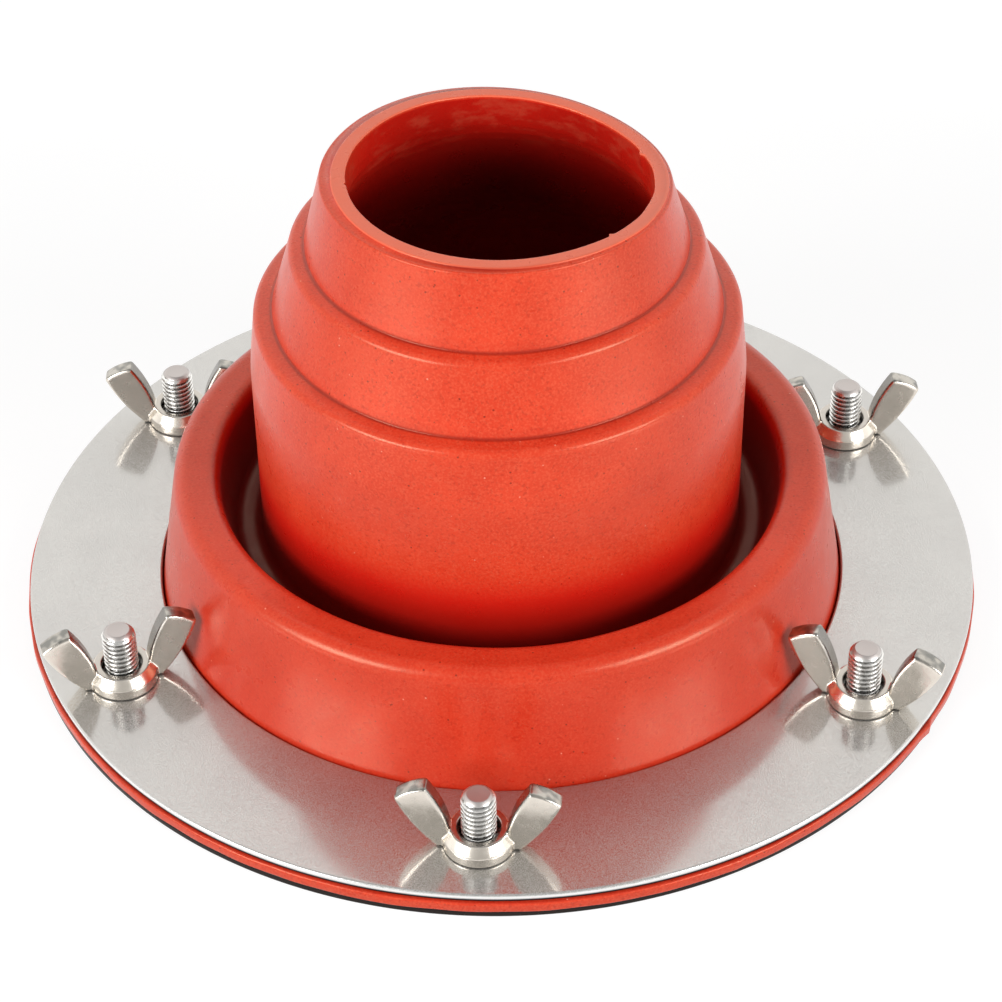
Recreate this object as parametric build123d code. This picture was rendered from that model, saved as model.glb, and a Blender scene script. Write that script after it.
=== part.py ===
from build123d import *
import math
import os

# Tent stove jack: a stepped silicone pipe boot, clamped between two stainless rings
# by six weld studs and wing nuts. Sizes are in millimetres.
# The origin is on the pipe's axis at the underside of the lower ring, and +Z runs up the pipe.
# Radii are chained outwards from the pipe opening, and heights upwards from the lower ring.

# clamp stack
ring_thick = 1.5            # each stainless ring
flange_thick = 2.0          # silicone between the rings
ring_edge = 12.0            # from the stud circle to the rings' outer edge
flange_overhang = 1.0       # silicone beyond the rings' outer edge
ring_round = 0.45           # deburred edges of the rings
ring_round_share = 0.4      # most of the ring's thickness that one edge takes up

# pipe opening
bore_r = 26.0               # mouth that grips the flue pipe
bore_land = 4.0             # straight grip length in the mouth
throat_blend = 3.5          # height of the rounding from the grip into the smooth inner cone
throat_drop = 8.6           # from the lower tier's crease down to the foot of the inner cone
lip_width = 2.6             # flat trimmed face round the mouth
lip_height = 0.35           # how far that face stands above the top tier
shoulder_out = 1.2          # top tier's shoulder beyond the trimmed face

# stepped cone, from the top tier down
cone_wall = 3.0             # of the lower tier
upper_taper = 3.3           # each taper is the radius gained on the way down a tier
upper_height = 13.35
middle_ledge = 2.5          # each ledge is the step out on top of a tier
middle_taper = 3.8
middle_height = 12.9
lower_ledge = 3.2
lower_taper = 1.2
lower_taper_height = 11.0   # upper stretch of the lower tier, which leans in
lower_height = 47.0         # from the trough's floor to the lower tier's ledge
ledge_fall = 0.4            # slope of a ledge, from its crease to its shoulder

# folded collar round the cone
trough_gap = 4.4            # floor of the trough, between the cone and the collar
trough_lean = 3.5           # how far the trough's outer wall opens upwards
collar_top_width = 7.3
collar_lean = 4.0           # how far the collar's outer wall leans in upwards
collar_rise = 24.3          # collar's height above the flange
trough_rise = 11.5          # trough's floor above the flange
fold_wall = 2.5             # wall of the collar and of the fold under the trough
collar_gap = 0.5            # collar's foot inside the upper ring's hole

# rounding of the moulding
trough_round = 2.0
collar_round = 2.2
ledge_round = 1.3
belly_round = 24.0
mould_round = 0.4
crease_round = 0.25
lip_round = 0.3

# weld studs
stud_count = 6
stud_r = 3.0
stud_above_ring = 11.5      # stud end above the upper ring
stud_chamfer = 1.0
weld_flange_r = 3.75
weld_flange_thick = 1.0
weld_flange_gap = 0.45      # silicone's hole round the stud's welded flange
ring_hole_gap = 0.3         # upper ring's hole round the stud

# wing nuts
thread_gap = 0.05           # nut's bore round the stud
hub_r = 6.15
hub_foot = 2.1              # height of the hub's straight foot
hub_height = 3.9
hub_top_r = 4.9
hub_base_round = 0.35       # rounding of the hub's base, foot and top edges
hub_foot_round = 0.6
hub_top_round = 0.4
sink_r = 3.75               # countersink at the hub's top
sink_depth = 1.2
base_chamfer = 0.4
wing_reach = 13.9           # from the stud's axis to the wing's tip
wing_height = 13.3
wing_tip_height = 10.8      # height of the tip's outer corner
wing_tip_width = 5.3        # from the tip's outer corner to its inner corner, along the wings
wing_thick = 3.3
wing_round = 0.6
wing_crown = 0.45           # rise of the rounded top edge over a straight one
wing_belly = 0.65           # bulge of the outer edge beyond a straight one
wing_swell = 0.65           # bulge of the inner edge towards the stud
wing_root_inset = 0.3       # wing's root, in from the edge of the hub's top
wing_root_drop = 0.8        # inner edge's foot, down from the hub's top
wing_foot_out = 0.85        # outer edge's foot, out from the hub's side
wing_foot_rise = 0.15       # and up from its base
swing_gap = 0.625           # between a turning wing's tip and the collar
wing_turns = [-2.0, -18.0, 5.6, 20.0, 4.3, 21.5]   # how each tightened nut happens to stand, degrees

# radii worked out from the chain
mouth_r = bore_r + lip_width
upper_top_r = mouth_r + shoulder_out
upper_foot_r = upper_top_r + upper_taper
middle_top_r = upper_foot_r + middle_ledge
middle_foot_r = middle_top_r + middle_taper
lower_top_r = middle_foot_r + lower_ledge
cone_r = lower_top_r + lower_taper
trough_r = cone_r + trough_gap
collar_mouth_r = trough_r + trough_lean
collar_top_r = collar_mouth_r + collar_top_width
collar_foot_r = collar_top_r + collar_lean
ring_inner_r = collar_foot_r + collar_gap

# heights worked out from the stack
flange_low = ring_thick
flange_top = flange_low + flange_thick
ring_top = flange_top + ring_thick
trough_z = flange_top + trough_rise
collar_top = flange_top + collar_rise
lower_crease = trough_z + lower_height
upper_crease = lower_crease + middle_height
shoulder_top = upper_crease + upper_height
mouth_top = shoulder_top + lip_height
throat_top = mouth_top - lip_round - bore_land - throat_blend
throat_foot = lower_crease - throat_drop
throat_lean = math.atan2(cone_r - cone_wall - bore_r, throat_top - throat_foot)
throat_round = throat_blend / math.tan(throat_lean / 2)

# the studs stand just far enough out for a wing to swing past the leaning collar
tip_inset = collar_lean * (ring_thick + wing_tip_height) / collar_rise
stud_circle_r = collar_foot_r - tip_inset + wing_reach + swing_gap
ring_outer_r = stud_circle_r + ring_edge
stud_top = ring_top + stud_above_ring


def turned(outline, radii):
    """Solid of revolution about Z from a closed outline of (radius, height) points."""
    with BuildPart() as solid:
        with BuildSketch(Plane.XZ):
            with BuildLine():
                FilletPolyline(*outline, radius=radii, close=True)
            make_face()
        revolve(axis=Axis.Z)
    return solid.part


def round_studs(i):
    """Place on the stud circle, counted anticlockwise from the front (-Y)."""
    angle = math.radians(-90 + 360 / stud_count * i)
    return stud_circle_r * math.cos(angle), stud_circle_r * math.sin(angle)


def stud_holes(radius, low, high):
    """Cylinders to cut where the studs pass."""
    return [
        Pos(*round_studs(i), (low + high) / 2) * Cylinder(radius, high - low)
        for i in range(stud_count)
    ]


def boot_outside():
    """Upper side of the moulding, from the flange's edge in over the collar and up the cone."""
    return [
        ((ring_outer_r + flange_overhang, flange_low), mould_round),
        ((ring_outer_r + flange_overhang, flange_top), mould_round),
        ((collar_foot_r, flange_top), mould_round),
        ((collar_top_r, collar_top), collar_round),
        ((collar_mouth_r, collar_top), mould_round),
        ((trough_r, trough_z), trough_round),
        ((cone_r, trough_z), trough_round),
        ((cone_r, lower_crease - ledge_fall - lower_taper_height), belly_round),
        ((lower_top_r, lower_crease - ledge_fall), ledge_round),
        ((middle_foot_r, lower_crease), crease_round),
        ((middle_top_r, upper_crease - ledge_fall), ledge_round),
        ((upper_foot_r, upper_crease), crease_round),
        ((upper_top_r, shoulder_top), mould_round),
        ((mouth_r, shoulder_top), 0),
        ((mouth_r, mouth_top), lip_round),
        ((bore_r, mouth_top), lip_round),
    ]


def boot_inside():
    """Lower side of the same wall, from the mouth down the cone and out under the fold."""
    under_fold = trough_z - fold_wall
    fold_round = trough_round + fold_wall
    return [
        ((bore_r, throat_top), throat_round),
        ((cone_r - cone_wall, throat_foot), belly_round),
        ((cone_r - cone_wall, under_fold), fold_round),
        ((trough_r + fold_wall, under_fold), fold_round),
        ((collar_mouth_r + fold_wall, collar_top - fold_wall), mould_round),
        ((collar_top_r - fold_wall, collar_top - fold_wall), mould_round),
        ((collar_foot_r - fold_wall, flange_low), mould_round),
    ]


def make_boot():
    """The silicone boot: flange, folded collar and stepped cone moulded as one piece."""
    corners = boot_outside() + boot_inside()
    boot = turned([point for point, _ in corners], [radius for _, radius in corners])
    boot -= stud_holes(weld_flange_r + weld_flange_gap, flange_low, flange_top)
    return boot


def make_ring(low):
    """Plain stainless ring that bears on one side of the silicone flange."""
    outline = [
        (ring_inner_r, low),
        (ring_outer_r, low),
        (ring_outer_r, low + ring_thick),
        (ring_inner_r, low + ring_thick),
    ]
    rounding = min(ring_round, ring_thick * ring_round_share)
    return turned(outline, [rounding] * len(outline))


def make_upper_ring():
    """Upper ring, with a clearance hole for each stud."""
    ring = make_ring(flange_top)
    ring -= stud_holes(stud_r + ring_hole_gap, flange_top, ring_top)
    return ring


def make_stud():
    """Stud with its welded flange on the lower ring. The thread is left plain."""
    outline = [
        (0, ring_thick),
        (weld_flange_r, ring_thick),
        (weld_flange_r, ring_thick + weld_flange_thick),
        (stud_r, ring_thick + weld_flange_thick),
        (stud_r, stud_top - stud_chamfer),
        (stud_r - stud_chamfer, stud_top),
        (0, stud_top),
    ]
    return turned(outline, [0] * len(outline))


def make_hub():
    """Bored hub of a wing nut, with its countersinks."""
    nut_bore_r = stud_r + thread_gap
    corners = [
        ((nut_bore_r + base_chamfer, 0), 0),
        ((hub_r, 0), hub_base_round),
        ((hub_r, hub_foot), hub_foot_round),
        ((hub_top_r, hub_height), hub_top_round),
        ((sink_r, hub_height), 0),
        ((nut_bore_r, hub_height - sink_depth), 0),
        ((nut_bore_r, base_chamfer), 0),
    ]
    return turned([point for point, _ in corners], [radius for _, radius in corners])


def bulged(start, end, rise):
    """Arc from start to end that passes the given distance to the left of their chord's middle."""
    chord = Vector(*end) - Vector(*start)
    middle = (Vector(*start) + Vector(*end)) * 0.5
    left = Vector(-chord.Y, chord.X) * (rise / chord.length)
    return ThreePointArc(start, middle + left, end)


def make_wing():
    """Leaf-shaped wing that leans outwards from the hub towards +X."""
    tip_out = (wing_reach, wing_tip_height)
    tip_in = (wing_reach - wing_tip_width, wing_height)
    root_in = (hub_top_r - wing_root_inset, hub_height - wing_root_drop)
    foot_in = (hub_top_r - wing_root_inset, wing_foot_rise)
    foot_out = (hub_r + wing_foot_out, wing_foot_rise)
    with BuildPart() as wing:
        with BuildSketch(Plane.XZ):
            with BuildLine():
                Polyline(root_in, foot_in, foot_out)
                bulged(foot_out, tip_out, -wing_belly)
                bulged(tip_out, tip_in, -wing_crown)
                bulged(tip_in, root_in, -wing_swell)
            make_face()
        extrude(amount=wing_thick / 2, both=True)
        fillet(wing.edges(), wing_round)
    return wing.part


def make_wing_nut():
    """Cast wing nut, standing on the plane z = 0 with its wings along X."""
    wing = make_wing()
    return make_hub() + wing + wing.rotate(Axis.Z, 180)


def save(solid, name):
    solid.label = name
    export_step(solid, f"parts/{name}.step")


def main():
    os.makedirs("parts", exist_ok=True)
    save(make_boot(), "silicone_boot")
    save(make_ring(0), "lower_ring")
    save(make_upper_ring(), "upper_ring")
    stud = make_stud()
    nut = make_wing_nut()
    for i in range(stud_count):
        place = round_studs(i)
        save(Pos(*place) * stud, f"stud_{i + 1}")
        turn = wing_turns[i % len(wing_turns)]
        save(Pos(*place, ring_top) * Rot(0, 0, turn) * nut, f"wing_nut_{i + 1}")


main()
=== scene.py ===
import math

import bmesh
import bpy
import numpy as np
from mathutils import Matrix, Vector


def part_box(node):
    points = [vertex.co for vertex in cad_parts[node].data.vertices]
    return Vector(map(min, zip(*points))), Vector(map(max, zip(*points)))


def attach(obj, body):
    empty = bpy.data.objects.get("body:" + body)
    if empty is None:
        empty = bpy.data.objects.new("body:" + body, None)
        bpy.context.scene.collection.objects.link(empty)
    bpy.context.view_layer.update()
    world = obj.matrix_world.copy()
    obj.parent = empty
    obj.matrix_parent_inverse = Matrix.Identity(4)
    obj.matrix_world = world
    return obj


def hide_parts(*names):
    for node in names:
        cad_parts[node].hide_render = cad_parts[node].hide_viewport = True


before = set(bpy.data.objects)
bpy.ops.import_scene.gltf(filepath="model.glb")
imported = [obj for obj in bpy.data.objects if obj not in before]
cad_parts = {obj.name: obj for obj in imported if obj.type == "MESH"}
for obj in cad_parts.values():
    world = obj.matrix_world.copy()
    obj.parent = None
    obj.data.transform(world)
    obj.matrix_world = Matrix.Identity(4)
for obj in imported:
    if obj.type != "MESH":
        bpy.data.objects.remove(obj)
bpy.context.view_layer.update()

# Lengths are in metres, or in millimetres where a name ends in mm or a comment says so.
MM = 0.001
STUD_COUNT = 6

# The photograph's camera: where it stands, and the pixel where the upper ring's centre lands.
PICTURE_SIDE = 1002
SENSOR_MM = 36.0
FOCAL_PIXELS = 2857.0
CAMERA_DISTANCE = 0.5345
CAMERA_ELEVATION_DEGREES = 40.43
CAMERA_TURN_DEGREES = 3.3
CAMERA_ROLL_DEGREES = -0.80
CAMERA_CLIP = (0.01, 20)
RING_CENTRE_PIXEL = (501.2, 548.7)

# The boot's section, as corners of (radius, height, rounding) in mm: in over the collar, down
# into the trough, up the cone, and back down inside and under the fold.
FLANGE_MM = [(88.5, 1.5, 0.4), (88.5, 3.5, 0.4)]
COLLAR_MM = [(63.0, 3.5, 0.4), (59.0, 27.8, 2.8), (51.7, 27.8, 1.8), (48.2, 15.0, 2.0)]
CONE_MM = [
    (43.8, 15.0, 2.0),
    (43.8, 50.6, 24.0),
    (42.6, 61.6, 1.3),
    (39.4, 62.0, 0.25),
    (35.6, 74.5, 1.3),
    (33.1, 74.9, 0.25),
    (29.8, 88.25, 0.4),
    (28.6, 88.25, 0.0),
    (28.6, 88.6, 0.3),
]
MOUTH_MM = [(26.0, 88.6, 0.3), (26.0, 80.8, 13.8)]
INSIDE_MM = [
    (40.8, 53.4, 24.0),
    (40.8, 12.5, 4.5),
    (50.7, 12.5, 4.5),
    (54.2, 25.3, 0.4),
    (56.5, 25.3, 0.4),
    (60.5, 1.5, 0.4),
]
# Creases darkened by dirt and painted shade, as (radius, height, reach of the dark line) in mm.
CREASES_MM = [(39.4, 62.0, 0.70), (33.1, 74.9, 0.70), (28.6, 88.25, 0.45), (63.0, 3.5, 0.70)]
CREASE_CORE_MM = 0.12
BOOT_STEPS = 320
BOOT_SPACING_MM = 2.4
ARC_MARGIN_MM = 0.4
ARC_STEP_DEGREES = 14
HOLE_SIDES = 48

# The moulding's unevenness, outwards and upwards, which sets in above the clamped flange.
UNEVEN_OUT_MM, UNEVEN_UP_MM = 0.10, 0.06
UNEVEN_FROM_MM, UNEVEN_FULL_MM = 6, 14

# How far the hand-trimmed flange falls short of its widest, at these angles from +X, and its torn
# places, as (angle, half width, length) in degrees and mm.
TRIM_ANGLES = [-180, -150, -120, -90, -60, -40, -15, 0, 60, 120, 180]
TRIM_MM = [0.45, 0.5, 0.45, 0.45, 0.5, 0.6, 0.7, 0.75, 0.6, 0.6, 0.45]
TRIM_WOBBLE_MM = 0.05
TRIM_FROM_MM = 80
FLANGE_NIBS = ((-29.5, 1.1, 0.55), (-33.0, 0.8, 0.25), (-61.0, 0.5, 0.2), (-112.0, 0.6, -0.25))

# The mouth's slanted cut: how far it droops, where it is lowest, and how far round that reaches.
# The droop sets in over these heights of the section, and over these once it has drooped.
MOUTH_DROOP_MM = 2.4
MOUTH_DROOP_DEGREES = 38
MOUTH_DROOP_REACH_DEGREES = 115
DROOP_RISE_MM = (74.6, 87.6)
DROOPED_RISE_MM = (74.6, 85.6)
MOUTH_WOBBLE_MM = 0.035
MOUTH_NICKS = ((-42.8, 1.4, -0.6), (22.6, 3.0, -0.6), (190.0, 1.0, 0.4))

# The hole lies off centre at the mouth. Its side of the wall is within a radius that widens
# downwards from a height.
HOLE_SHIFT_MM = 0.7
HOLE_SHIFT_RISE_MM = (72.6, 84.6)
HOLE_SIDE_R_MM, HOLE_SIDE_Z_MM, HOLE_SIDE_SLOPE = 29.2, 82.6, 0.54

# Rings, studs and nuts.
RING_ROUND_MM = 0.45
RING_STEPS = 384
RING_SPACING_MM = 4.0
RING_HOLE_MM = 3.3
FLANGE_HOLE_MM = 4.2
DRILL_MARGIN_MM = 0.1
RING_INNER_MM = 63.2
RING_OUTER_MM = 87.5
LOWER_RING_SHIFT_MM = (-0.27, -0.15)
PITCH_MM = 1.0
THREAD_DEPTH_MM = 0.50
THREAD_CREST, THREAD_ROOT = 0.13, 0.40
THREAD_OUTER_MM = 3.0
THREAD_ROW_MM = 0.07
THREAD_STEPS = 80
THREAD_NECK_MM, THREAD_RUNOUT_MM = 0.3, 0.8
WELD_FLANGE_MM = (3.75, 1.0)
WELD_EDGE_MM = 0.1
CHAMFER_MM = 1.0
CHAMFER_LENGTH_MM = 1.1
# The stud's end is slightly domed: (share of its radius, depth below its top) in mm.
STUD_END_MM = ((0.93, 0.012), (0.45, 0.05))
STUD_END_DEPTH_MM = 0.06
STUD_TURN_DEGREES = 47
NUT_WELD_MM = 0.001
NUT_VOXEL_MM = 0.13
NUT_SMOOTHING, NUT_SMOOTHINGS = 0.5, 10
NUT_KEPT_SHARE = 0.35
SINK_MM = 3.75

# Light, as radiance where white is 1. The room's values fade along an axis of the direction.
LIGHT_TINT = (1, 0.99, 0.97, 1)
FILL_SIDE, FILL_TOP = 0.36, 0.20
FILL_RISE = (0.1, 0.9)
ROOM_FRONT, ROOM_BACK, ROOM_CEILING = 0.55, 1.56, 0.72
ROOM_RISE = (-0.7, 0.4)
CEILING_RISE = (0.74, 0.94)
SOFTBOX_WIDE, SOFTBOX_HIGH = 0.48, 0.30
SOFTBOX_LEFT, SOFTBOX_RIGHT = 12.9, 11.0
SOFTBOX_SPREAD_DEGREES = 51
SOFTBOX_AZIMUTHS = (
    CAMERA_TURN_DEGREES - SOFTBOX_SPREAD_DEGREES, CAMERA_TURN_DEGREES + SOFTBOX_SPREAD_DEGREES,
)
SOFTBOX_ELEVATION_DEGREES = 24
SOFTBOX_DISTANCE = 0.9
SOFTBOX_AIM_HEIGHT = 0.03

# The floor, as distances from its middle or from the middle of a pool of light.
FLOOR_HALF_SIDE = 3.0
FLOOR_GLOW, FLOOR_GLOW_FAR = 0.84, 0.97
FLOOR_COVERED = (0.066, 0.082)
FLOOR_FADE = (0.12, 0.45)
POOL_GLOW, POOL_DISTANCE = 4.6, 0.31
POOL_EDGE, POOL_CORE = 0.17, 0.03


def mesh_object(name, points, faces, smooth=True):
    """New object from numpy points and a list of faces."""
    mesh = bpy.data.meshes.new(name)
    mesh.from_pydata([tuple(p) for p in points], [], [tuple(f) for f in faces])
    mesh.polygons.foreach_set("use_smooth", [smooth] * len(mesh.polygons))
    mesh.update()
    obj = bpy.data.objects.new(name, mesh)
    bpy.context.scene.collection.objects.link(obj)
    return obj


def applied(obj):
    """Turns the object's modifiers into its mesh."""
    bpy.context.view_layer.update()
    graph = bpy.context.evaluated_depsgraph_get()
    mesh = bpy.data.meshes.new_from_object(obj.evaluated_get(graph))
    obj.modifiers.clear()
    obj.data = mesh


def eased(value, low, high):
    """0 at low, 1 at high, eased between."""
    t = np.clip((value - low) / (high - low), 0, 1)
    return t * t * (3 - 2 * t)


def mesh_points(mesh):
    """The mesh's points, as rows of a numpy array."""
    points = np.zeros(len(mesh.vertices) * 3, np.float32)
    mesh.vertices.foreach_get("co", points)
    return points.reshape(-1, 3)


def paint(mesh, name, values):
    """Gives each point of the mesh its value of a named attribute, for the materials."""
    layer = mesh.attributes.new(name, "FLOAT", "POINT")
    layer.data.foreach_set("value", values.astype(np.float32))


def finish_piece(obj, body, material, node):
    """Gives the piece its material, and its place in the frame in the stead of a node."""
    obj.data.materials.clear()
    obj.data.materials.append(material)
    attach(obj, body)
    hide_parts(node)


def rounded(corners, spacing):
    """Closed outline of (radius, height) points in mm through the corners, with an arc at each.

    The points lie about spacing apart, with one close to each arc's end.
    """
    outline = []
    count = len(corners)
    for i in range(count):
        corner = np.array(corners[i][:2])
        back = np.array(corners[i - 1][:2]) - corner
        ahead = np.array(corners[(i + 1) % count][:2]) - corner
        back /= np.linalg.norm(back)
        ahead /= np.linalg.norm(ahead)
        half = math.acos(float(np.clip(back @ ahead, -1, 1))) / 2
        radius = corners[i][2]
        if radius == 0:
            outline.append(corner)
            continue
        reach = radius / math.tan(half)
        middle = (back + ahead) / np.linalg.norm(back + ahead)
        centre = corner + middle * radius / math.sin(half)
        start = corner + back * reach - centre
        end = corner + ahead * reach - centre
        turn = math.pi - 2 * half
        side = math.copysign(1, start[0] * end[1] - start[1] * end[0])
        fine, even = math.degrees(turn) / ARC_STEP_DEGREES, radius * turn / spacing
        steps = max(2, math.ceil(fine), math.ceil(even))
        for k in range(steps + 1):
            a = side * turn * k / steps
            c, s = math.cos(a), math.sin(a)
            arm = np.array([start[0] * c - start[1] * s, start[0] * s + start[1] * c])
            outline.append(centre + arm)
    filled = []
    for i in range(len(outline)):
        start, end = outline[i], outline[(i + 1) % len(outline)]
        length = np.linalg.norm(end - start)
        shares = np.arange(max(1, math.ceil(length / spacing))) * spacing / length
        if length > 3 * ARC_MARGIN_MM:
            even = np.linspace(0, 1, len(shares) + 1)[1:-1]
            shares = np.unique([0, ARC_MARGIN_MM / length, *even, 1 - ARC_MARGIN_MM / length])
        filled += [start + (end - start) * share for share in shares if share < 1]
    return np.array(filled)


def turned(outline, steps):
    """Surface of revolution about Z from a closed outline, in the outline's own unit."""
    count = len(outline)
    angles = np.arange(steps) * 2 * math.pi / steps
    points = np.zeros((steps, count, 3))
    points[:, :, 0] = np.cos(angles)[:, None] * outline[:, 0]
    points[:, :, 1] = np.sin(angles)[:, None] * outline[:, 0]
    points[:, :, 2] = outline[:, 1]
    faces = []
    for j in range(steps):
        here, there = j * count, (j + 1) % steps * count
        for i in range(count):
            k = (i + 1) % count
            faces.append((here + i, there + i, there + k, here + k))
    return points, faces


def stud_place(i):
    """Foot of a stud's axis, from the frame."""
    low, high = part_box(f"stud_{i}")
    return Vector(((low.x + high.x) / 2, (low.y + high.y) / 2, 0))


def drilled(obj, radius, low, high):
    """Cuts the holes for the studs through obj, between two heights."""
    cutter_mesh = bmesh.new()
    for i in range(1, STUD_COUNT + 1):
        place = stud_place(i) + Vector((0, 0, (low + high) / 2))
        bmesh.ops.create_cone(
            cutter_mesh, cap_ends=True, segments=HOLE_SIDES, radius1=radius, radius2=radius,
            depth=high - low, matrix=Matrix.Translation(place),
        )
    mesh = bpy.data.meshes.new("cutter")
    cutter_mesh.to_mesh(mesh)
    cutter_mesh.free()
    cutter = bpy.data.objects.new("cutter", mesh)
    bpy.context.scene.collection.objects.link(cutter)
    cut = obj.modifiers.new("holes", "BOOLEAN")
    cut.operation = "DIFFERENCE"
    cut.solver = "EXACT"
    cut.object = cutter
    applied(obj)
    bpy.data.objects.remove(cutter)


def waves(angle, height, seed, terms, highest):
    """Slow unevenness round the part, between about -1 and 1, of up to highest waves a turn."""
    random = np.random.default_rng(seed)
    total = np.zeros(np.broadcast(angle, height).shape)
    for _ in range(terms):
        turns = random.integers(1, highest)
        lean = random.normal(0, 0.06)
        total += np.sin(turns * angle + lean * height + random.uniform(0, 2 * math.pi))
    return total / terms ** 0.5


def make_boot():
    """Silicone boot, revolved finely, with the moulding's unevenness and its hand-cut edges."""
    outline = rounded(FLANGE_MM + COLLAR_MM + CONE_MM + MOUTH_MM + INSIDE_MM, BOOT_SPACING_MM)
    points, faces = turned(outline, BOOT_STEPS)
    angle = np.arctan2(points[:, :, 1], points[:, :, 0])
    radius = np.hypot(points[:, :, 0], points[:, :, 1])
    height = points[:, :, 2]
    free = np.clip((height - UNEVEN_FROM_MM) / (UNEVEN_FULL_MM - UNEVEN_FROM_MM), 0, 1)
    below_cut = height < MOUTH_MM[0][1] - 2
    radius = trim_flange(angle, radius)
    radius = radius + UNEVEN_OUT_MM * free * waves(angle, height, 3, 7, 9)
    height = height + UNEVEN_UP_MM * free * waves(angle, 0 * height, 5, 6, 14) * below_cut
    radius = trim_mouth(angle, radius, height)
    hole_side = radius < HOLE_SIDE_R_MM + HOLE_SIDE_SLOPE * (HOLE_SIDE_Z_MM - height).clip(0)
    shift = HOLE_SHIFT_MM * hole_side * eased(height, *HOLE_SHIFT_RISE_MM)
    points[:, :, 0] = radius * np.cos(angle) + shift
    points[:, :, 1] = radius * np.sin(angle)
    points[:, :, 2] = height - droop_at(angle) * eased(height, *DROOP_RISE_MM)
    boot = mesh_object("boot", points.reshape(-1, 3) * MM, faces)
    hole_low, hole_high = FLANGE_MM[0][1] - DRILL_MARGIN_MM, FLANGE_MM[1][1] + DRILL_MARGIN_MM
    drilled(boot, FLANGE_HOLE_MM * MM, hole_low * MM, hole_high * MM)
    paint_boot(boot.data)
    finish_piece(boot, "jack", silicone_material(), "silicone_boot")


def droop_at(angle):
    """How far the mouth's slanted cut lies below its highest side, in mm."""
    away = np.abs((np.degrees(angle) - MOUTH_DROOP_DEGREES + 180) % 360 - 180)
    return MOUTH_DROOP_MM * (1 - eased(away, 0, MOUTH_DROOP_REACH_DEGREES))


def trim_flange(angle, radius):
    """The flange's edge as cut by hand: narrower on one side, with a wobble and torn nibs."""
    degrees = np.degrees(angle)
    short = np.interp(degrees, TRIM_ANGLES, TRIM_MM)
    short = short + TRIM_WOBBLE_MM * waves(angle, 0 * angle, 21, 9, 60)
    short = short + TRIM_WOBBLE_MM * waves(angle, 0 * angle, 22, 9, 25)
    for centre, width, length in FLANGE_NIBS:
        short = short - length * np.clip(1 - np.abs(degrees - centre) / width, 0, 1)
    return np.where(radius > TRIM_FROM_MM, radius - short.clip(0, 1), radius)


def trim_mouth(angle, radius, height):
    """Nicks and a torn fin on the mouth's inner edge, and the hand-cut wobble of its edge."""
    mouth_r, mouth_z, _ = MOUTH_MM[0]
    inner = (height > mouth_z - 4.2) & (radius < mouth_r + 1.2)
    rise = np.clip((height - (mouth_z - 3.5)) / 3.0, 0, 1)
    wobble = MOUTH_WOBBLE_MM * waves(angle, 0 * angle, 11, 9, 22)
    radius = np.where(inner, radius + wobble * rise, radius)
    for centre, width, depth in MOUTH_NICKS:
        away = (np.degrees(angle) - centre + 180) % 360 - 180
        ramp = np.clip(1 - np.abs(away) / width, 0, 1)
        tooth = np.where(away > 0, ramp, ramp ** 3)
        radius = np.where(inner, radius + depth * tooth * rise, radius)
    return radius


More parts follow.
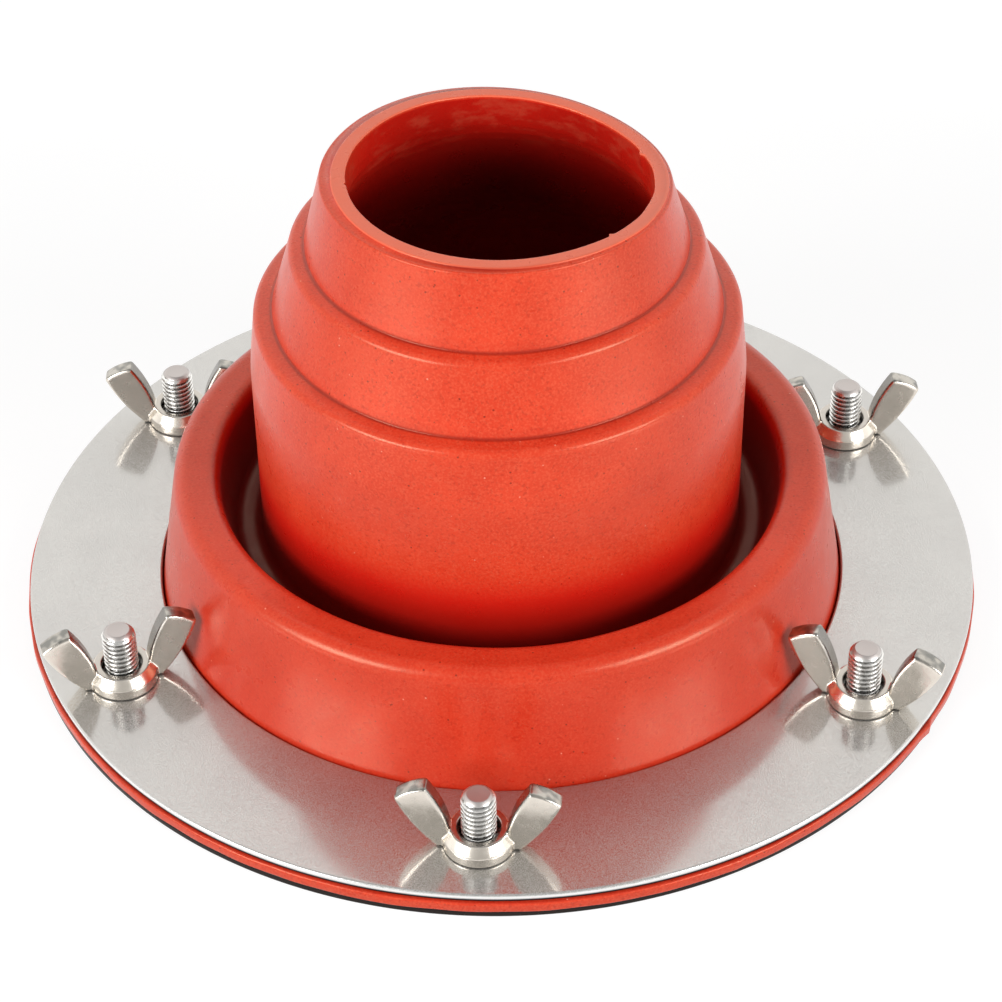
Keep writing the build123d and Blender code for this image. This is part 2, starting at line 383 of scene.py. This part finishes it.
def paint_boot(mesh):
    """Point attributes for the boot's material, each from 0 to 1.

    collar_shade is painted shade over the collar, deepest at its foot, cut the mouth's trimmed face,
    which the material paints paler as a sheen, crease_dirt_and_shade the dark lines of dirt and
    painted shade, deep the painted shade in the throat and the trough, trough the trough alone, and
    powder where rub marks may show.
    """
    points = mesh_points(mesh) / MM
    radius, height = np.hypot(points[:, 0], points[:, 1]), points[:, 2]
    droop = droop_at(np.arctan2(points[:, 1], points[:, 0]))
    level = height + droop * eased(height, *DROOPED_RISE_MM)
    mouth_r, mouth_z, _ = MOUTH_MM[0]
    lip_r = CONE_MM[-1][0]
    brim_r, brim_z, brim_round = COLLAR_MM[2]
    collar_low, collar_high = FLANGE_MM[1][1], COLLAR_MM[1][1]

    outer = sorted((z, r) for r, z, _ in CONE_MM[:-2])
    wall = np.interp(height, [z for z, _ in outer], [r for _, r in outer])
    inside = (radius < wall - 1.4) & (height > 11.0) & (level < mouth_z - 0.35)
    # Painted shade down the throat, deepening downwards and towards its back.
    below = mouth_z - height
    at_back = eased(points[:, 1] / np.maximum(radius, 1), 0.0, 0.9)
    depth_inside = 0.25 + 0.12 * eased(below, 0, 7) + 0.36 * eased(below, 12, 40)
    depth_inside += at_back * (0.30 + 0.22 * eased(below, 4, 24))
    # paler again towards its open foot, which is seen from underneath
    depth_inside = depth_inside.clip(0, 1) * (0.4 + 0.6 * eased(height, 20, 42))
    depth_inside = np.where(inside, depth_inside, 0)
    powder = np.where(inside, eased(height, mouth_z - 16, mouth_z - 3), 0)

    # Painted shade in the trough.
    in_trough = ~inside & (radius < brim_r + 0.2) & (height < brim_z + 18) & (height > 13.5)
    on_collar_side = in_trough & (radius > brim_r - 6)
    depth_trough = np.where(in_trough, eased(brim_z + 12.5 - height, 0, 22), 0)
    collar_side_depth = eased(brim_z - height, 0, 2.5 * brim_round)
    depth_trough = np.where(on_collar_side, collar_side_depth, depth_trough)

    # Dark lines of dirt and painted shade along the creases.
    crease_dirt_and_shade = np.zeros(len(points))
    for crease_r, crease_z, reach in CREASES_MM:
        away = np.hypot(radius - crease_r, level - crease_z)
        crease_dirt_and_shade = np.maximum(crease_dirt_and_shade, 1 - eased(away, CREASE_CORE_MM, reach))
    # The mouth's trimmed top face, which the material paints paler as a sheen.
    cut = (level > mouth_z - 0.2) & (radius > mouth_r - 1.0) & (radius < lip_r + 0.6)
    # Painted shade over the collar, deepest at its foot.
    on_collar = ~inside & (radius > brim_r + 0.2) & (height > collar_low - 0.1)
    collar_shade = np.where(on_collar, 1 - 0.35 * eased(height, collar_low, collar_high), 0)

    paint(mesh, "collar_shade", collar_shade)
    paint(mesh, "cut", cut.astype(float))
    paint(mesh, "crease_dirt_and_shade", crease_dirt_and_shade)
    paint(mesh, "deep", np.maximum(depth_inside, depth_trough))
    paint(mesh, "trough", depth_trough)
    paint(mesh, "powder", powder)


def make_ring(node):
    """Stainless ring with deburred edges, finer than its solid. Only the upper one is drilled."""
    is_lower = node == "lower_ring"
    low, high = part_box(node)
    bottom, top = low.z / MM, high.z / MM
    corners = [
        (RING_INNER_MM, bottom, RING_ROUND_MM),
        (RING_OUTER_MM, bottom, RING_ROUND_MM),
        (RING_OUTER_MM, top, RING_ROUND_MM),
        (RING_INNER_MM, top, RING_ROUND_MM),
    ]
    points, faces = turned(rounded(corners, RING_SPACING_MM), RING_STEPS)
    if is_lower:
        points[:, :, :2] += LOWER_RING_SHIFT_MM
    ring = mesh_object(node.replace("ring", "plate"), points.reshape(-1, 3) * MM, faces)
    if not is_lower:
        drilled(ring, RING_HOLE_MM * MM, low.z - MM, high.z + MM)
    keep_flats(ring)
    finish_piece(ring, "jack", ring_material(is_lower), node)


def keep_flats(obj):
    """Keeps flat faces flat in the shading, beside their rounded edges."""
    obj.data.set_sharp_from_angle(angle=math.radians(35))
    weighted = obj.modifiers.new("flats", "WEIGHTED_NORMAL")
    weighted.keep_sharp = True
    weighted.weight = 100


def make_stud_mesh():
    """Threaded weld stud about its own axis, in mm, with its height as in the frame."""
    low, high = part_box("stud_1")
    bottom, top = low.z / MM, high.z / MM
    flange_r, flange_thick = WELD_FLANGE_MM
    shoulder = bottom + flange_thick
    rows = np.linspace(shoulder, top, round((top - shoulder) / THREAD_ROW_MM))
    angles = np.arange(THREAD_STEPS) * 2 * math.pi / THREAD_STEPS

    # rolled thread, with its crest at a phase of 0.5
    phase = (rows[:, None] / PITCH_MM - angles[None, :] / (2 * math.pi)) % 1.0
    fall = eased(np.abs(phase - 0.5), THREAD_CREST, THREAD_ROOT)
    radius = THREAD_OUTER_MM - THREAD_DEPTH_MM * fall
    near_end = np.clip((rows - (top - CHAMFER_LENGTH_MM)) / CHAMFER_LENGTH_MM, 0, 1)
    taper = THREAD_OUTER_MM - CHAMFER_MM * (0.65 * near_end + 0.35 * near_end ** 3)
    radius = np.minimum(radius, taper[:, None])
    runout = np.clip((rows - shoulder - THREAD_NECK_MM) / THREAD_RUNOUT_MM, 0, 1)[:, None]
    radius = radius * runout + (THREAD_OUTER_MM - THREAD_DEPTH_MM * 0.5) * (1 - runout)

    # rings of points from the weld flange's foot up to the domed end, as (radius, height)
    rings = [
        (0.6 * flange_r, bottom),
        (flange_r - WELD_EDGE_MM, bottom),
        (flange_r, bottom + WELD_EDGE_MM),
        (flange_r, shoulder - WELD_EDGE_MM),
        (flange_r - WELD_EDGE_MM, shoulder),
    ]
    rings += zip(radius, rows)
    rings += [(radius[-1] * share, top - depth) for share, depth in STUD_END_MM]
    points = []
    for ring_radius, ring_height in rings:
        x, y = ring_radius * np.cos(angles), ring_radius * np.sin(angles)
        points += zip(x, y, np.full(THREAD_STEPS, ring_height))
    faces = []
    for j in range(len(rings) - 1):
        here, above = j * THREAD_STEPS, (j + 1) * THREAD_STEPS
        for i in range(THREAD_STEPS):
            k = (i + 1) % THREAD_STEPS
            faces.append((here + i, here + k, above + k, above + i))
    last = (len(rings) - 1) * THREAD_STEPS
    points += [(0, 0, bottom), (0, 0, top - STUD_END_DEPTH_MM)]
    for i in range(THREAD_STEPS):
        k = (i + 1) % THREAD_STEPS
        faces.append((k, i, len(points) - 2))
        faces.append((last + i, last + k, len(points) - 1))
    return np.array(points), faces


def make_studs():
    """The six studs, each turned differently about its axis."""
    points, faces = make_stud_mesh()
    material = stud_material()
    out = np.hypot(points[:, 0], points[:, 1])
    top = points[:, 2].max()
    root_r = THREAD_OUTER_MM - THREAD_DEPTH_MM
    # Painted shade in the thread's grooves.
    groove_shade = 1 - eased(out, root_r, THREAD_OUTER_MM - 0.25 * THREAD_DEPTH_MM)
    groove_shade *= points[:, 2] < top - 0.8 * CHAMFER_MM
    end = eased(points[:, 2], top - 0.7, top - 0.25)
    for i in range(1, STUD_COUNT + 1):
        turn = math.radians(STUD_TURN_DEGREES * i)
        c, s = math.cos(turn), math.sin(turn)
        turned_points = points @ np.array([[c, s, 0], [-s, c, 0], [0, 0, 1]])
        placed = turned_points * MM + np.array(stud_place(i))
        stud = mesh_object(f"threaded_stud_{i}", placed, faces)
        paint(stud.data, "groove_shade", groove_shade)
        paint(stud.data, "end", end)
        stud.data.set_sharp_from_angle(angle=math.radians(50))
        finish_piece(stud, "jack", material, f"stud_{i}")


def heading(node, place):
    """Direction of a wing nut's wings, from the frame."""
    spread = np.array([(v.co - place)[:2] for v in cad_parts[node].data.vertices])
    values, axes = np.linalg.eigh(spread.T @ spread)
    along = axes[:, int(np.argmax(values))]
    return math.atan2(along[1], along[0])


def make_nut_mesh():
    """One cast wing nut at its own origin, in mm, with the hub and wings melted together."""
    place = stud_place(1)
    turn = Matrix.Rotation(-heading("wing_nut_1", place), 4, "Z")
    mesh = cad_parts["wing_nut_1"].data.copy()
    mesh.transform(Matrix.Scale(1 / MM, 4) @ turn @ Matrix.Translation(-place))
    mesh.materials.clear()
    nut = bpy.data.objects.new("nut_form", mesh)
    bpy.context.scene.collection.objects.link(nut)
    weld = nut.modifiers.new("weld", "WELD")
    weld.merge_threshold = NUT_WELD_MM
    remesh = nut.modifiers.new("melt", "REMESH")
    remesh.mode = "VOXEL"
    remesh.voxel_size = NUT_VOXEL_MM
    remesh.use_smooth_shade = True
    soften = nut.modifiers.new("soften", "SMOOTH")
    soften.factor = NUT_SMOOTHING
    soften.iterations = NUT_SMOOTHINGS
    applied(nut)
    thin = nut.modifiers.new("thin", "DECIMATE")
    thin.ratio = NUT_KEPT_SHARE
    applied(nut)
    mesh = nut.data
    bpy.data.objects.remove(nut)
    mesh.polygons.foreach_set("use_smooth", [True] * len(mesh.polygons))
    paint_nut(mesh)
    return mesh


def paint_nut(mesh):
    """Point attributes for the nut's material, each from 0 to 1.

    bore_shade is painted shade in the hole, crown the wings' top ends, inner painted shade on the
    wings' inner sides and the hub's top, and foot_shadow a painted shadow along the line where the
    nut stands on the ring.
    """
    points = mesh_points(mesh)
    normals = np.zeros(len(mesh.vertices) * 3, np.float32)
    mesh.vertices.foreach_get("normal", normals)
    normals = normals.reshape(-1, 3)
    out = np.hypot(points[:, 0], points[:, 1])
    height, low = points[:, 2], points[:, 2].min()
    up = normals[:, 2]
    outwards = normals[:, 0] * points[:, 0] + normals[:, 1] * points[:, 1]
    to_stud = -outwards / np.maximum(out, 0.1)
    crown = eased(up, 0.35, 0.75) * eased(height, low + 9.6, low + 10.6)
    # Painted shade on the wings' inner sides and the hub's top.
    inner = eased(to_stud, 0.15, 0.55) * eased(height, low + 3.5, low + 5.5)
    inner = inner * (out > SINK_MM + 0.4)
    hub_top = eased(up, 0.75, 0.95) * (height < low + 6.5) * (out < 6.6)
    # Painted shade in the hole.
    paint(mesh, "bore_shade", 1 - eased(out, SINK_MM - 0.15, SINK_MM + 0.15))
    paint(mesh, "crown", crown)
    paint(mesh, "inner", np.maximum(inner, 0.8 * hub_top))
    # Painted contact shadow where the nut stands on the ring.
    paint(mesh, "foot_shadow", 1 - eased(height, low + 0.05, low + 0.4))


def make_nuts():
    """The six wing nuts, each on a body of its own."""
    form = make_nut_mesh()
    material = nut_material()
    for i in range(1, STUD_COUNT + 1):
        place = stud_place(i)
        turn = Matrix.Rotation(heading(f"wing_nut_{i}", place), 4, "Z")
        mesh = form.copy()
        mesh.transform(Matrix.Translation(place) @ turn @ Matrix.Scale(MM, 4))
        nut = bpy.data.objects.new(f"cast_wing_nut_{i}", mesh)
        bpy.context.scene.collection.objects.link(nut)
        finish_piece(nut, f"nut_{i}", material, f"wing_nut_{i}")


class Nodes:
    """Short way to write a material's nodes."""

    def __init__(self, name):
        self.material = bpy.data.materials.new(name)
        self.material.use_nodes = True
        self.tree = self.material.node_tree
        self.tree.nodes.clear()
        self.place = self.add("ShaderNodeTexCoord").outputs["Object"]

    def add(self, kind, **settings):
        """New node with these settings."""
        node = self.tree.nodes.new(kind)
        for key, value in settings.items():
            setattr(node, key, value)
        return node

    def feed(self, socket, value):
        """Links another node's output to the socket, or sets the socket to a plain value."""
        if isinstance(value, bpy.types.NodeSocket):
            self.tree.links.new(value, socket)
        else:
            socket.default_value = value

    def noise(self, size_mm, detail=2.0, roughness=0.5, stretch=(1, 1, 1)):
        """Noise whose features are about size_mm across, from 0 to 1."""
        place = self.place
        if stretch != (1, 1, 1):
            mapping = self.add("ShaderNodeMapping")
            mapping.inputs["Scale"].default_value = stretch
            self.feed(mapping.inputs["Vector"], place)
            place = mapping.outputs["Vector"]
        node = self.add("ShaderNodeTexNoise")
        self.feed(node.inputs["Vector"], place)
        node.inputs["Scale"].default_value = 1 / (size_mm * MM)
        node.inputs["Detail"].default_value = detail
        node.inputs["Roughness"].default_value = roughness
        return node.outputs["Fac"]

    def specks(self, cell_mm, size_mm, share):
        """1 inside specks of about size_mm, in that share of the cells, and 0 elsewhere."""
        cells = self.add("ShaderNodeTexVoronoi")
        self.feed(cells.inputs["Vector"], self.place)
        cells.inputs["Scale"].default_value = 1 / (cell_mm * MM)
        edge = size_mm / cell_mm / 2
        near = self.ramp(cells.outputs["Distance"], edge * 1.3, edge * 0.5)
        pick = self.add("ShaderNodeSeparateColor")
        self.feed(pick.inputs["Color"], cells.outputs["Color"])
        chosen = self.ramp(pick.outputs["Red"], 1 - share, 1 - share * 0.9)
        return self.math("MULTIPLY", near, chosen)

    def math(self, operation, a, b=0.5):
        """Result of an operation on one or two numbers."""
        node = self.add("ShaderNodeMath", operation=operation)
        self.feed(node.inputs[0], a)
        self.feed(node.inputs[1], b)
        return node.outputs["Value"]

    def ramp(self, value, low, high, to_low=0.0, to_high=1.0):
        """Maps low to high onto to_low to to_high, and holds it there outside."""
        node = self.add("ShaderNodeMapRange", interpolation_type="SMOOTHSTEP")
        self.feed(node.inputs["Value"], value)
        node.inputs["From Min"].default_value = low
        node.inputs["From Max"].default_value = high
        node.inputs["To Min"].default_value = to_low
        node.inputs["To Max"].default_value = to_high
        return node.outputs["Result"]

    def mix(self, share, a, b):
        """Colour a where share is 0 and b where it is 1."""
        node = self.add("ShaderNodeMix", data_type="RGBA")
        self.feed(node.inputs["Factor"], share)
        self.feed(node.inputs["A"], a)
        self.feed(node.inputs["B"], b)
        return node.outputs["Result"]

    def tint(self, colour, mask, amount, towards):
        """The colour, moved towards another by this amount where the mask is 1."""
        return self.mix(self.math("MULTIPLY", mask, amount), colour, towards)

    def painted(self, name):
        """Value of one of the mesh's own point attributes."""
        return self.add("ShaderNodeAttribute", attribute_name=name).outputs["Fac"]

    def bump(self, height, depth_mm, before=None):
        """Normal that follows a height of 0 to 1 which is depth_mm deep, over another normal."""
        node = self.add("ShaderNodeBump")
        node.inputs["Strength"].default_value = 1.0
        node.inputs["Distance"].default_value = depth_mm * MM
        self.feed(node.inputs["Height"], height)
        if before is not None:
            self.feed(node.inputs["Normal"], before)
        return node.outputs["Normal"]

    def shader(self, **values):
        """Finishes the material, with a principled shader of these values."""
        surface = self.add("ShaderNodeBsdfPrincipled")
        for key, value in values.items():
            self.feed(surface.inputs[key.replace("_", " ")], value)
        output = self.add("ShaderNodeOutputMaterial")
        self.tree.links.new(surface.outputs["BSDF"], output.inputs["Surface"])
        return self.material


def silicone_material():
    """Orange-red moulded silicone: cloudy pigment, specks, crease dirt, rub marks, painted shade and
    sheen.
    """
    n = Nodes("silicone")
    clouds = n.ramp(n.noise(9.0, 3.0), 0.35, 0.68)
    colour = n.mix(clouds, (0.71, 0.043, 0.015, 1), (0.77, 0.053, 0.019, 1))
    pale_grain = n.ramp(n.noise(0.42, 2.0), 0.40, 0.70)
    colour = n.tint(colour, pale_grain, 0.42, (0.85, 0.13, 0.06, 1))
    dark_grain = n.ramp(n.noise(0.60, 2.0), 0.46, 0.28)
    colour = n.tint(colour, dark_grain, 0.45, (0.46, 0.018, 0.007, 1))
    # Painted shade over the collar, deepest at its foot.
    colour = n.tint(colour, n.painted("collar_shade"), 0.42, (0.46, 0.008, 0.003, 1))
    dark_specks = n.specks(1.4, 0.36, 0.20)
    colour = n.tint(colour, dark_specks, 0.80, (0.17, 0.008, 0.004, 1))
    pale_specks = n.specks(1.9, 0.32, 0.12)
    colour = n.tint(colour, pale_specks, 0.65, (0.92, 0.42, 0.30, 1))
    # Painted sheen on the mouth's trimmed top face.
    colour = n.tint(colour, n.painted("cut"), 0.75, (1.0, 0.19, 0.10, 1))
    rubbed = n.ramp(n.noise(5.0, 4.0, 0.65, (1, 1, 2.2)), 0.46, 0.66)
    dusty = n.math("MULTIPLY", n.painted("powder"), rubbed)
    deep = n.painted("deep")
    # Painted shade in the throat and the trough.
    colour = n.mix(n.ramp(deep, 0.0, 0.5, 0.0, 0.88), colour, (0.66, 0.009, 0.005, 1))
    colour = n.mix(n.ramp(deep, 0.3, 1.0, 0.0, 0.92), colour, (0.19, 0.0015, 0.001, 1))
    colour = n.tint(colour, dusty, 0.34, (0.58, 0.09, 0.045, 1))
    # Dirt and painted shade along the creases.
    colour = n.tint(colour, n.painted("crease_dirt_and_shade"), 0.80, (0.27, 0.003, 0.001, 1))
    rough = n.ramp(n.noise(4.0, 4.0), 0.3, 0.7, 0.27, 0.32)
    rough = n.math("ADD", rough, n.ramp(n.painted("trough"), 0.6, 1.0, 0.0, 0.16))
    normal = n.bump(n.noise(0.30, 3.0), 0.018)
    normal = n.bump(n.noise(3.5, 2.0), 0.05, normal)
    return n.shader(
        Base_Color=colour, Roughness=rough, Normal=normal, IOR=1.5,
        Specular_Tint=(1, 0.84, 0.58, 1),
    )


def ring_material(is_lower):
    """Satin rolled stainless sheet, mirror-like with a fine grain.

    The upper ring's edge has a painted highlight; its foot and the lower ring's edge, painted shade.
    """
    n = Nodes("ring_steel_lower" if is_lower else "ring_steel_upper")
    haze = n.ramp(n.noise(14.0, 3.0), 0.35, 0.65)
    colour = n.mix(haze, (0.483, 0.475, 0.461, 1), (0.507, 0.499, 0.483, 1))
    geometry = n.add("ShaderNodeNewGeometry")
    facing = n.add("ShaderNodeSeparateXYZ")
    n.feed(facing.inputs["Vector"], geometry.outputs["Normal"])
    # Side faces take a painted highlight on the upper ring and painted shade on the lower.
    flat_from, side_from = (0.995, 0.95) if is_lower else (0.75, 0.3)
    side = n.ramp(n.math("ABSOLUTE", facing.outputs["Z"]), flat_from, side_from)
    edge = (0.030, 0.024, 0.022, 1) if is_lower else (0.86, 0.87, 0.86, 1)
    colour = n.mix(side, colour, edge)
    if not is_lower:
        # Painted shade on the upper ring's foot, beside the flange.
        height = n.add("ShaderNodeSeparateXYZ")
        n.feed(height.inputs["Vector"], n.place)
        flange_shade = n.ramp(height.outputs["Z"], 4.4 * MM, 4.0 * MM)
        colour = n.mix(flange_shade, colour, (0.020, 0.021, 0.025, 1))
    rough = n.ramp(n.noise(0.06, 0.0), 0.46, 0.52, 0.12, 0.56)
    normal = n.bump(n.noise(14.0, 1.0), 0.012)
    return n.shader(Base_Color=colour, Metallic=1.0, Roughness=rough, Normal=normal)


def stud_material():
    """Bright rolled thread with painted shade in its grooves, and a duller cut end."""
    n = Nodes("stud_steel")
    colour = n.mix(n.noise(1.5), (0.66, 0.65, 0.63, 1), (0.78, 0.77, 0.75, 1))
    # Painted shade in the thread's grooves.
    colour = n.tint(colour, n.painted("groove_shade"), 0.85, (0.10, 0.098, 0.095, 1))
    rough = n.ramp(n.noise(0.8, 4.0), 0.3, 0.7, 0.20, 0.32)
    end = n.painted("end")
    colour = n.mix(end, colour, (0.45, 0.415, 0.40, 1))
    rough = n.math("MAXIMUM", rough, n.ramp(end, 0.0, 1.0, 0.2, 0.44))
    normal = n.bump(n.noise(0.5, 3.0), 0.003)
    return n.shader(Base_Color=colour, Metallic=1.0, Roughness=rough, Normal=normal)


def nut_material():
    """Tumble-polished stainless casting, slightly uneven."""
    n = Nodes("nut_steel")
    colour = n.mix(n.noise(2.5, 3.0), (0.735, 0.678, 0.602, 1), (0.845, 0.785, 0.703, 1))
    # Painted shade in the hole.
    colour = n.tint(colour, n.painted("bore_shade"), 0.9, (0.03, 0.028, 0.026, 1))
    # Painted shade on the wings' inner sides and the hub's top.
    colour = n.tint(colour, n.painted("inner"), 0.72, (0.17, 0.16, 0.155, 1))
    blotch = n.ramp(n.noise(1.8, 1.0), 0.35, 0.65, 0.95, 0.62)
    colour = n.tint(colour, n.painted("crown"), blotch, (0.17, 0.17, 0.16, 1))
    # Painted contact shadow where the nut stands on the ring.
    colour = n.tint(colour, n.painted("foot_shadow"), 0.85, (0.06, 0.055, 0.05, 1))
    rough = n.ramp(n.noise(1.6, 4.0), 0.3, 0.7, 0.18, 0.28)
    normal = n.bump(n.noise(0.45, 2.0), 0.0015)
    normal = n.bump(n.noise(2.4, 1.0), 0.018, normal)
    return n.shader(Base_Color=colour, Metallic=1.0, Roughness=rough, Normal=normal)


def make_stage():
    """Pale floor that glows white but for the object's shadow.

    Reflections also see a brighter pool on it before each lamp. From below, the floor isn't there.
    """
    side = FLOOR_HALF_SIDE
    corners = [(-side, -side, 0), (side, -side, 0), (side, side, 0), (-side, side, 0)]
    floor = mesh_object("floor", corners, [(0, 1, 2, 3)], smooth=False)
    n = Nodes("floor")
    colour = n.mix(n.noise(60.0), (0.24, 0.24, 0.24, 1), (0.26, 0.26, 0.26, 1))
    diffuse = n.add("ShaderNodeBsdfDiffuse")
    n.feed(diffuse.inputs["Color"], colour)
    path = n.add("ShaderNodeLightPath")
    by_camera, by_gloss = path.outputs["Is Camera Ray"], path.outputs["Is Glossy Ray"]
    length = n.add("ShaderNodeVectorMath", operation="LENGTH")
    n.feed(length.inputs[0], n.place)
    away = length.outputs["Value"]
    uncovered = n.ramp(away, *FLOOR_COVERED)
    level = n.ramp(away, *FLOOR_FADE, FLOOR_GLOW, FLOOR_GLOW_FAR)
    seen = n.math("MAXIMUM", by_camera, by_gloss)
    strength = n.math("MULTIPLY", seen, n.math("MULTIPLY", uncovered, level))
    for azimuth in SOFTBOX_AZIMUTHS:
        a = math.radians(azimuth)
        pool = n.add("ShaderNodeVectorMath", operation="DISTANCE")
        n.feed(pool.inputs[0], n.place)
        pool_place = (POOL_DISTANCE * math.sin(a), -POOL_DISTANCE * math.cos(a), 0)
        pool.inputs[1].default_value = pool_place
        within = n.ramp(pool.outputs["Value"], POOL_EDGE, POOL_CORE)
        lit = n.math("MULTIPLY", by_gloss, within)
        strength = n.math("ADD", strength, n.math("MULTIPLY", lit, POOL_GLOW))
    glow = n.add("ShaderNodeEmission")
    n.feed(glow.inputs["Strength"], strength)
    both = n.add("ShaderNodeAddShader")
    n.feed(both.inputs[0], diffuse.outputs["BSDF"])
    n.feed(both.inputs[1], glow.outputs["Emission"])
    geometry = n.add("ShaderNodeNewGeometry")
    seen_from = n.add("ShaderNodeMixShader")
    n.feed(seen_from.inputs["Fac"], geometry.outputs["Backfacing"])
    n.feed(seen_from.inputs[1], both.outputs["Shader"])
    n.feed(seen_from.inputs[2], n.add("ShaderNodeBsdfTransparent").outputs["BSDF"])
    n.feed(n.add("ShaderNodeOutputMaterial").inputs["Surface"], seen_from.outputs["Shader"])
    floor.data.materials.append(n.material)


def make_world():
    """White for the camera, a studio for reflections, and a soft fill for the rest.

    The studio darkens towards the front and overhead.
    """
    world = bpy.data.worlds.new("studio")
    bpy.context.scene.world = world
    world.use_nodes = True
    tree = world.node_tree
    tree.nodes.clear()
    direction = tree.nodes.new("ShaderNodeTexCoord")
    split = tree.nodes.new("ShaderNodeSeparateXYZ")
    tree.links.new(direction.outputs["Generated"], split.inputs["Vector"])

    def fade(axis, rise, to_low=0, to_high=1):
        """Goes from to_low to to_high over a rise along an axis of the direction."""
        node = tree.nodes.new("ShaderNodeMapRange")
        node.interpolation_type = "SMOOTHSTEP"
        tree.links.new(split.outputs[axis], node.inputs["Value"])
        node.inputs["From Min"].default_value, node.inputs["From Max"].default_value = rise
        node.inputs["To Min"].default_value = to_low
        node.inputs["To Max"].default_value = to_high
        return node.outputs["Result"]

    def backdrop(axis, rise, to_low, to_high):
        """Background whose strength fades along an axis of the direction."""
        node = tree.nodes.new("ShaderNodeBackground")
        node.inputs["Color"].default_value = LIGHT_TINT
        tree.links.new(fade(axis, rise, to_low, to_high), node.inputs["Strength"])
        return node.outputs["Background"]

    def mixed(share, otherwise, shown):
        """Shader otherwise where share is 0, and shown where it is 1."""
        mix = tree.nodes.new("ShaderNodeMixShader")
        tree.links.new(share, mix.inputs["Fac"])
        tree.links.new(otherwise, mix.inputs[1])
        tree.links.new(shown, mix.inputs[2])
        return mix.outputs["Shader"]

    path = tree.nodes.new("ShaderNodeLightPath")
    fill = backdrop("Z", FILL_RISE, FILL_SIDE, FILL_TOP)
    room = backdrop("Y", ROOM_RISE, ROOM_FRONT, ROOM_BACK)
    ceiling = tree.nodes.new("ShaderNodeBackground")
    ceiling.inputs["Strength"].default_value = ROOM_CEILING
    reflected = mixed(fade("Z", CEILING_RISE), room, ceiling.outputs["Background"])
    white = backdrop("Z", (0, 1), 1, 1)
    shader = mixed(path.outputs["Is Glossy Ray"], fill, reflected)
    shader = mixed(path.outputs["Is Camera Ray"], shader, white)
    output = tree.nodes.new("ShaderNodeOutputWorld")
    tree.links.new(shader, output.inputs["Surface"])


def softbox(name, azimuth, radiance):
    """Rectangular lamp that faces the object. Azimuth is counted from the front, towards +X."""
    a, e = math.radians(azimuth), math.radians(SOFTBOX_ELEVATION_DEGREES)
    away = Vector((math.sin(a) * math.cos(e), -math.cos(a) * math.cos(e), math.sin(e)))
    lamp = bpy.data.lights.new(name, "AREA")
    lamp.shape = "RECTANGLE"
    lamp.size, lamp.size_y = SOFTBOX_WIDE, SOFTBOX_HIGH
    lamp.energy = radiance * math.pi * SOFTBOX_WIDE * SOFTBOX_HIGH
    obj = bpy.data.objects.new(name, lamp)
    obj.location = Vector((0, 0, SOFTBOX_AIM_HEIGHT)) + away * SOFTBOX_DISTANCE
    obj.rotation_mode = "QUATERNION"
    obj.rotation_quaternion = (-away).to_track_quat("-Z", "Y")
    bpy.context.scene.collection.objects.link(obj)


def make_camera():
    """The photograph's camera, aimed so that the upper ring's centre lands on its pixel."""
    elevation = math.radians(CAMERA_ELEVATION_DEGREES)
    camera_data = bpy.data.cameras.new("camera")
    camera_data.sensor_width = SENSOR_MM
    camera_data.lens = FOCAL_PIXELS / PICTURE_SIDE * SENSOR_MM
    camera_data.clip_start, camera_data.clip_end = CAMERA_CLIP
    camera = bpy.data.objects.new("camera", camera_data)
    bpy.context.scene.collection.objects.link(camera)
    bpy.context.scene.camera = camera
    ring_top = Vector((0, 0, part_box("upper_ring")[1].z))
    back = Vector((0, -math.cos(elevation), math.sin(elevation)))
    right = Vector((1, 0, 0))
    up = back.cross(right)
    half = PICTURE_SIDE / 2
    to_centre = Vector((
        (RING_CENTRE_PIXEL[0] - half) / FOCAL_PIXELS,
        (half - RING_CENTRE_PIXEL[1]) / FOCAL_PIXELS,
        -1,
    )).normalized()
    looking = Matrix((right, up, back)).transposed()
    roll = Matrix.Rotation(math.radians(CAMERA_ROLL_DEGREES), 3, "Z")
    aim = to_centre.rotation_difference(Vector((0, 0, -1))).to_matrix()
    turn = Matrix.Rotation(math.radians(CAMERA_TURN_DEGREES), 3, "Z")
    rotation = turn @ looking @ roll @ aim
    place = ring_top + turn @ back * CAMERA_DISTANCE
    camera.matrix_world = Matrix.Translation(place) @ rotation.to_4x4()


bpy.context.scene.view_settings.view_transform = "Standard"
make_boot()
make_ring("lower_ring")
make_ring("upper_ring")
make_studs()
make_nuts()
make_stage()
make_world()
softbox("left_softbox", SOFTBOX_AZIMUTHS[0], SOFTBOX_LEFT)
softbox("right_softbox", SOFTBOX_AZIMUTHS[1], SOFTBOX_RIGHT)
make_camera()
